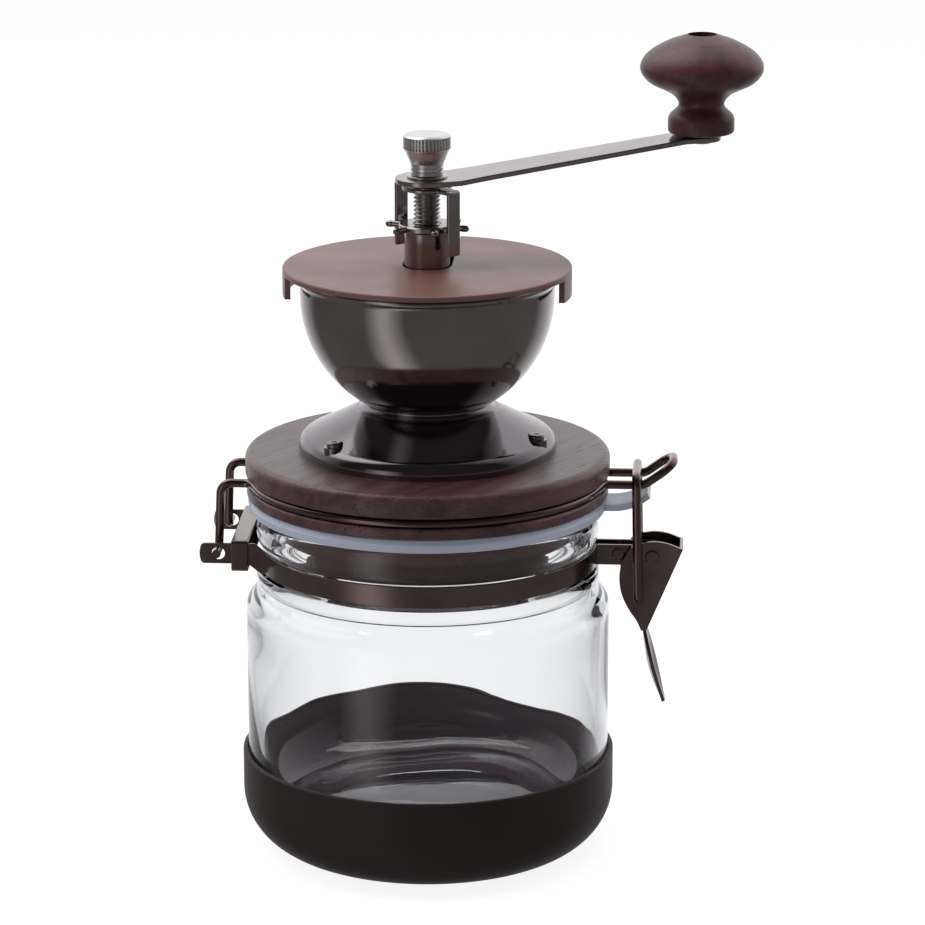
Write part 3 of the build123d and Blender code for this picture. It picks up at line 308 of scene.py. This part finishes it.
def make_materials():
    """One material for each material slot of the record."""
    return {
        "glass": pressed_glass("pressed_glass"),
        "boot_silicone": moulded(
            "chocolate_silicone", (0.0125, 0.0065, 0.0068), (0.016, 0.009, 0.009), roughness=0.52,
            # inside is a painted light on the boot's faces behind the glass, not the silicone's own colour
            inside=(0.085, 0.046, 0.06), specular_ior_level=0.28),
        "gasket_silicone": moulded(
            "clear_silicone", (0.36, 0.39, 0.48), (0.42, 0.45, 0.53), roughness=0.36,
            grain=700.0, depth=0.00002, transmission_weight=0.35, ior=1.41),
        "black_plastic": moulded("black_plastic", (0.012, 0.012, 0.013), (0.02, 0.02, 0.021), roughness=0.45),
        "white_plastic": moulded("white_plastic", (0.72, 0.72, 0.7), (0.78, 0.78, 0.77), roughness=0.4),
        "lid_plastic": moulded(
            "brown_plastic", (0.075, 0.037, 0.031), (0.083, 0.043, 0.036), roughness=0.36,
            grain=1400.0, depth=0.000015),
        "ceramic": moulded(
            "ceramic", (0.78, 0.77, 0.73), (0.86, 0.85, 0.82), roughness=0.32, grain=2600.0, depth=0.00004),
        # the last colour is a painted light on the shaded plug, not paler wood
        "lid_wood": grained_wood(
            "dark_walnut", (0.024, 0.0088, 0.01), (0.064, 0.0255, 0.027), turn=(0, 0, radians(-56)),
            roughness=0.42, coat=0.5, pore_gap=0.0012, pore_depth=0.00016, painted_plug_light=(0.115, 0.055, 0.05)),
        "knob_wood": grained_wood(
            "red_brown_wood", (0.021, 0.0058, 0.0066), (0.058, 0.0145, 0.0145),
            turn=(0, radians(65), radians(25)),
            roughness=0.4, coat=0.25, pore_gap=0.0008, pore_depth=0.00004),
        "bronze_sheet": plated_metal(
            "bronze_sheet", (0.165, 0.118, 0.116), (0.42, 0.31, 0.28), roughness=0.17, smudge=0.08,
            streak=(12, 12, 300), edge=0.6, coat_weight=0.35, coat_roughness=0.08),
        "bronze_wire": plated_metal(
            "bronze_wire", (0.165, 0.108, 0.1), (0.42, 0.3, 0.25), roughness=0.13, smudge=0.05,
            streak=(60, 60, 60), edge=0.4, coat_weight=0.4, coat_roughness=0.06),
        "dark_enamel": plated_metal(
            "black_chrome", (0.185, 0.165, 0.18), (0.34, 0.3, 0.3), roughness=0.05, smudge=0.03,
            streak=(40, 40, 40), edge=0.4),
        "gunmetal": plated_metal(
            "gunmetal", (0.3, 0.268, 0.272), (0.62, 0.56, 0.54), roughness=0.07, smudge=0.05,
            streak=(40, 40, 40), edge=0.5),
        "dark_steel": plated_metal(
            "dark_steel", (0.22, 0.2, 0.2), (0.5, 0.48, 0.46), roughness=0.22, smudge=0.1,
            streak=(80, 80, 80), edge=0.6),
        "bright_steel": plated_metal(
            "bright_steel", (0.42, 0.40, 0.39), (0.8, 0.79, 0.78), roughness=0.16, smudge=0.08,
            streak=(90, 90, 90), edge=0.4),
        "aluminium": plated_metal(
            "aluminium", (0.72, 0.72, 0.72), (0.92, 0.92, 0.92), roughness=0.2, smudge=0.08,
            streak=(4, 4, 400), edge=0.3),
    }


# ---------------------------------------------------------------- making the studio
def studio_world():
    """What polished faces and glass show: a white back, a dim front and sides, a strip and a soft box."""
    world = bpy.data.worlds.new("studio")
    bpy.context.scene.world = world
    world.use_nodes = True
    tree = world.node_tree
    direction = add_node(tree, "TexCoord").outputs["Generated"]
    parts = add_node(tree, "SeparateXYZ", {"Vector": direction})
    across, depth, up = (parts.outputs[axis] for axis in "XYZ")
    table = blend_colours(tree, spread(tree, depth, 0.5, 0.93), TABLE_FRONT, TABLE_BACK)
    sky = blend_colours(tree, spread(tree, depth, -0.2, 0.65), SKY_FRONT, SKY_BACK)
    around = blend_colours(tree, spread(tree, up, -0.06, 0.06), table, sky)
    beside = combine(tree, "ADD", combine(tree, "MULTIPLY", across, cos(STRIP_TURN)),
                     combine(tree, "MULTIPLY", depth, -sin(STRIP_TURN)))
    strip = spread(tree, combine(tree, "ABSOLUTE", beside, 0.0), STRIP_HALF, STRIP_EDGE, 1.0, 0.0)
    strip = combine(tree, "MULTIPLY", strip, spread(tree, depth, -0.3, -0.4))
    strip = combine(tree, "MULTIPLY", strip, spread(tree, up, 0.35, 0.2))
    lit = blend_colours(tree, strip, around, STRIP_GLOW)
    aim = add_node(tree, "VectorMath", {0: direction, 1: GLOW_AIM}, operation="DOT_PRODUCT")
    lit = blend_colours(tree, spread(tree, aim.outputs["Value"], 0.86, 0.97), lit, GLOW_LIGHT)
    tree.links.new(lit, tree.nodes["Background"].inputs["Color"])


def floor_paper():
    """Glowing white paper. Mirrored rays pass it, so that they reach the studio's dim table."""
    material, tree, surface = new_material(
        "floor_paper", (PAPER_SHADE,) * 3, 0.9, specular_ior_level=0.0,
        emission_color=(1, 1, 1, 1), emission_strength=PAPER_GLOW)
    mirrored = combine(tree, "GREATER_THAN", add_node(tree, "LightPath").outputs["Glossy Depth"], 0.5)
    clear = add_node(tree, "BsdfTransparent")
    either = add_node(tree, "MixShader",
                      {0: mirrored, 1: surface.outputs["BSDF"], 2: clear.outputs["BSDF"]})
    tree.links.new(either.outputs["Shader"], tree.nodes["Material Output"].inputs["Surface"])
    return material


def make_studio():
    """A pale paper floor and soft boxes above, left, right and in front."""
    mesh = bpy.data.meshes.new("floor")
    corners = [(PAPER_HALF * x, PAPER_HALF * y, 0) for x, y in ((-1, -1), (1, -1), (1, 1), (-1, 1))]
    mesh.from_pydata(corners, [], [(0, 1, 2, 3)])
    floor = bpy.data.objects.new("floor", mesh)
    mesh.materials.append(floor_paper())
    bpy.context.scene.collection.objects.link(floor)
    studio_world()
    middle = (0, 0, 0.12)
    area_light("overhead", (0.0, 0.1, 1.3), middle, size=(1.6, 1.2), power=26.0, through_glass=True)
    area_light("front_fill", (-0.35, -1.5, 0.9), middle, size=(0.9, 0.7), power=6.0)
    area_light("left_box", (-0.95, -0.1, 0.75), middle, size=(0.5, 0.9), power=9.0)
    area_light("right_box", (0.95, 0.3, 0.6), middle, size=(0.3, 0.8), power=5.0)


# ---------------------------------------------------------------- pieces
def finish_piece(name, form, *replaced, crease=35, even=True):
    """A mesh piece that stands for CAD nodes, riding on their body and smooth between creases.

    Even leans the shading of a rounded edge to the wide faces beside it. The crease is in degrees.
    """
    node = replaced[0]
    bmesh.ops.recalc_face_normals(form, faces=form.faces)
    mesh = bpy.data.meshes.new(name)
    form.to_mesh(mesh)
    form.free()
    mesh.shade_smooth()
    mesh.set_sharp_from_angle(angle=radians(crease))
    mesh.materials.append(materials[node_slot[node]])
    piece = bpy.data.objects.new(name, mesh)
    bpy.context.scene.collection.objects.link(piece)
    if even:
        piece.modifiers.new("even_normals", "WEIGHTED_NORMAL").keep_sharp = True
    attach(piece, node_body[node])
    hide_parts(*replaced)


def eased(node, width):
    """A pressed or cut CAD piece with its sharp edges rounded over, as tumbling and plating leave them."""
    form = bmesh.new()
    form.from_mesh(nodes[node].data)
    bmesh.ops.remove_doubles(form, verts=form.verts, dist=WELD_GAP * MM)
    bmesh.ops.dissolve_limit(form, angle_limit=radians(FLAT_EDGE), verts=form.verts, edges=form.edges)
    sharp = [
        edge for edge in form.edges
        if len(edge.link_faces) == 2 and edge.calc_face_angle() > radians(SHARP_EDGE)
    ]
    bmesh.ops.bevel(form, geom=sharp, offset=width * MM, segments=EASED_STEPS, profile=0.5,
                    affect="EDGES", clamp_overlap=True)
    finish_piece(node + "_eased", form, node)


def add_lathe(form, outline, columns, place=Matrix(), radius_at=None):
    """Adds a turned form, whose outline in millimetres closes on the axis or on itself.

    radius_at(column, radius, height) may change the radius from column to column.
    """
    rings = []
    for radius, height in outline:
        if radius < ON_AXIS:
            rings.append([form.verts.new(place @ Vector((0, 0, height * MM)))])
            continue
        ring = []
        for column in range(columns):
            turn = 2 * pi * column / columns
            reach = (radius_at(column, radius, height) if radius_at else radius) * MM
            ring.append(form.verts.new(place @ Vector((reach * cos(turn), reach * sin(turn), height * MM))))
        rings.append(ring)
    for low, high in zip(rings, rings[1:] + rings[:1]):
        for column in range(columns):
            after = (column + 1) % columns
            if len(low) > 1 and len(high) > 1:
                form.faces.new((low[column], low[after], high[after], high[column]))
            elif len(low) > 1:
                form.faces.new((low[column], low[after], high[0]))
            elif len(high) > 1:
                form.faces.new((low[0], high[after], high[column]))


def arc_points(centre, radius, start, end, count):
    """Outline points along an arc, with angles in degrees from the radial direction."""
    for step in range(count + 1):
        turn = radians(start + (end - start) * step / count)
        yield centre[0] + radius * cos(turn), centre[1] + radius * sin(turn)


def bezier_points(start, first, second, end, count):
    """Outline points along a cubic curve, its start left out."""
    for step in range(1, count + 1):
        t = step / count
        weights = ((1 - t) ** 3, 3 * t * (1 - t) ** 2, 3 * t * t * (1 - t), t ** 3)
        weighted = list(zip(weights, (start, first, second, end)))
        yield tuple(sum(weight * point[axis] for weight, point in weighted) for axis in (0, 1))


def straight_points(start, end, count):
    """Outline points along a line, its start left out."""
    for step in range(1, count + 1):
        share = step / count
        yield start[0] + (end[0] - start[0]) * share, start[1] + (end[1] - start[1]) * share


def pressed_jar():
    """The jar: a heavy base with a push-up and heel, wavy walls, a beaded neck and a rounded mouth."""
    foot, top = (corner.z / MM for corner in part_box("glass_jar"))
    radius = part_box("glass_jar")[1].x / MM
    columns, wall, corner, floor_top = 192, 3.2, 16.9, foot + 12.0
    flat, bore = radius - corner, radius - wall
    neck, neck_bore, groove = 50.8, 47.0, 49.7
    shoulder, neck_foot, rim, lip = 75.0, 81.2, 95.2, 2.0
    bead_low, bead_high, bead_round, bead_turn = 83.2, 87.6, 5.09, 25.6
    bead_centre = (neck - 4.59, (bead_low + bead_high) / 2)
    wave_fade, wave_middle, wave_swing = 12.0, 0.3, 0.19
    outline = [(0, foot + 1.5), (14, foot + 1.4), (25, foot + 0.9), (29.5, foot + 0.25), (32, foot)]
    outline += arc_points((flat, foot + corner), corner, -90, 0, 20)
    outline += straight_points((radius, foot + corner), (radius, shoulder), 18)
    outline += bezier_points((radius, shoulder), (radius, shoulder + 3), (neck + 0.8, neck_foot - 2.6),
                             (neck, neck_foot), 12)
    outline += [(neck - 0.35, bead_low - 1.1), (neck - 0.6, bead_low - 0.6), (neck - 0.35, bead_low - 0.1)]
    outline += arc_points(bead_centre, bead_round, -bead_turn, bead_turn, 10)
    outline += [(groove, bead_high + 0.35), (groove - 0.2, bead_high + 0.8)]
    outline += [(groove, rim - 0.3), (groove + 0.2, rim)]
    outline += bezier_points((groove + 0.2, rim), (neck + 0.7, rim + 0.9), (neck + 0.6, rim + 4.4),
                             (neck, rim + 6), 10)
    outline += straight_points((neck, rim + 6), (neck, top - lip), 2)
    middle = (neck + neck_bore) / 2
    mouth_steps = 12
    for step in range(1, mouth_steps + 1):
        turn = pi * step / mouth_steps
        outline.append((middle + (neck - middle) * cos(turn), top - lip + lip * sin(turn)))
    outline += straight_points((neck_bore, top - lip), (neck_bore, neck_foot + 0.8), 10)
    outline += bezier_points((neck_bore, neck_foot + 0.8), (neck_bore + 0.3, neck_foot - 2),
                             (bore, shoulder + 2), (bore, shoulder - 2), 12)
    inner_corner = corner - wall
    inner_low = floor_top + inner_corner
    outline += straight_points((bore, shoulder - 2), (bore, inner_low), 20)
    outline += list(arc_points((flat, inner_low), inner_corner, 0, -90, 20))[1:]
    outline += [(33, floor_top + 0.05), (31, floor_top + 0.35), (28, floor_top + 0.55)]
    outline += [(14, floor_top + 0.75), (0, floor_top + 0.8)]

    def waves(column, reach, height):
        """The mould's slow unevenness on the inside of the wall."""
        if reach > bore + 0.01 or reach < flat or not floor_top < height < shoulder:
            return reach
        turn = 2 * pi * column / columns
        fade = min(1.0, (height - floor_top) / wave_fade, (shoulder - height) / wave_fade)
        slow = sin(3 * turn + 0.9) * sin(height / 6.5 + 0.5) + 0.6 * sin(7 * turn + height / 9.0)
        return reach - fade * (wave_middle + wave_swing * slow)

    form = bmesh.new()
    add_lathe(form, outline, columns, radius_at=waves)
    finish_piece("pressed_jar", form, "glass_jar", crease=50, even=False)


def threaded_spindle():
    """The spindle with its rolled helical thread between the adjusting nut and the crank arm."""
    low, high = (corner.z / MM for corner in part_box("spindle"))
    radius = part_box("spindle")[1].x / MM
    columns, chamfer = 72, 0.6
    pitch, depth, rows_per_turn = 1.25, 0.68, 12
    flank, crest = 1.25, 0.12       # the slope of the thread's sides, and the width of its crests
    start, end = 186.0, 203.0
    rows = int((end - start) / pitch * rows_per_turn)
    heights = [start + (end - start) * row / rows for row in range(rows + 1)]

    def groove(column, reach, height):
        """Crests with narrow flats, fading out over the last turn at both ends."""
        if not start <= height <= end:
            return reach
        phase = height / pitch - column / columns
        wave = abs(2 * (phase - floor(phase)) - 1)
        fade = min(1.0, (height - start) / pitch, (end - height) / pitch)
        return reach - depth * fade * min(1.0, max(0.0, flank * wave - crest))

    outline = [(0, low), (radius - chamfer, low), (radius, low + chamfer)]
    outline += [(radius, height) for height in heights]
    outline += [(radius, high - chamfer), (radius - chamfer, high), (0, high)]
    form = bmesh.new()
    add_lathe(form, outline, columns, radius_at=groove)
    finish_piece("threaded_spindle", form, "spindle", crease=60)


def knurled_cap_nut():
    """The cap nut: a straight-knurled head, a hollow cone below it and a collar with two turned grooves."""
    low, high = (corner.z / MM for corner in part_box("cap_nut"))
    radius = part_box("cap_nut")[1].x / MM
    collar, bore, ridges = 4.85, 4.06, 40
    cuts = (0.0, 0.1, 0.6, 0.1)     # how deep the knurl is in each column of a ridge
    knurl_low, knurl_high = high - 4.3, high - 0.7
    outline = [
        (0, high), (radius - 1.4, high), (radius - 0.9, high - 0.1), (radius - 0.25, high - 0.45),
        (radius, knurl_high), (radius, knurl_high - 0.5), (radius, knurl_low + 0.5), (radius, knurl_low),
        (radius - 0.25, knurl_low - 0.35), (radius - 0.75, knurl_low - 1.3),
        (radius - 1.45, knurl_low - 2.9), (collar + 0.2, knurl_low - 4.1), (collar, knurl_low - 4.5),
    ]
    for groove in (high - 9.6, high - 10.9):
        outline += [(collar, groove + 0.25), (collar - 0.25, groove + 0.1), (collar - 0.25, groove - 0.1),
                    (collar, groove - 0.25)]
    outline += [(collar, low + 0.25), (collar - 0.25, low), (bore, low), (bore, knurl_low), (0, knurl_low)]

    def knurl(column, reach, height):
        """Straight V cuts around the head."""
        if reach < radius - 0.05 or not knurl_low < height < knurl_high:
            return reach
        return reach - cuts[column % len(cuts)]

    form = bmesh.new()
    add_lathe(form, outline, len(cuts) * ridges, radius_at=knurl)
    finish_piece("knurled_cap_nut", form, "cap_nut", crease=28)


def star_nut():
    """The adjusting nut: a turned sleeve, a raised collar and six round prongs with domed ends."""
    low, high = (corner.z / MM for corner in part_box("adjusting_nut"))
    sleeve, collar, bore = 6.7, 8.4, 4.06
    prongs, reach, prong_radius, waist, swell = 6, 12.95, 1.0, 0.9, 10.6
    collar_low = high - 2 * prong_radius
    outline = [
        (bore, low), (sleeve - 0.3, low), (sleeve, low + 0.3), (sleeve, collar_low - 0.5),
        (sleeve + 0.15, collar_low), (collar - 0.4, collar_low + 0.05), (collar, collar_low + 0.45),
        (collar, high - 0.45), (collar - 0.4, high - 0.05), (collar - 0.8, high),
        (bore + 0.4, high), (bore, high - 0.3),
    ]
    form = bmesh.new()
    add_lathe(form, outline, 96)
    root = sleeve - 0.7
    prong = [(0, root), (waist, root), (waist, swell)]
    prong += [(prong_radius, swell + 0.3), (prong_radius, swell + 0.8)]
    prong += list(arc_points((0, reach - prong_radius), prong_radius, 20, 90, 5))[:-1]
    prong += [(0, reach)]
    lie = Matrix.Rotation(radians(90), 4, "Y")
    lift = Matrix.Translation((0, 0, (high - prong_radius) * MM))
    for turn in range(prongs):
        spin = Matrix.Rotation(radians(NUT_TURN + 360 * turn / prongs), 4, "Z")
        add_lathe(form, prong, 20, lift @ spin @ lie)
    finish_piece("star_nut", form, "adjusting_nut")


materials = make_materials()
for piece in nodes.values():
    for slot in piece.material_slots:
        slot.material = materials[slot.material.name]

for node, width in EASED_EDGES.items():
    eased(node, width)
pressed_jar()
threaded_spindle()
knurled_cap_nut()
star_nut()

make_studio()
make_camera()
bpy.context.scene.view_settings.view_transform = "Standard"
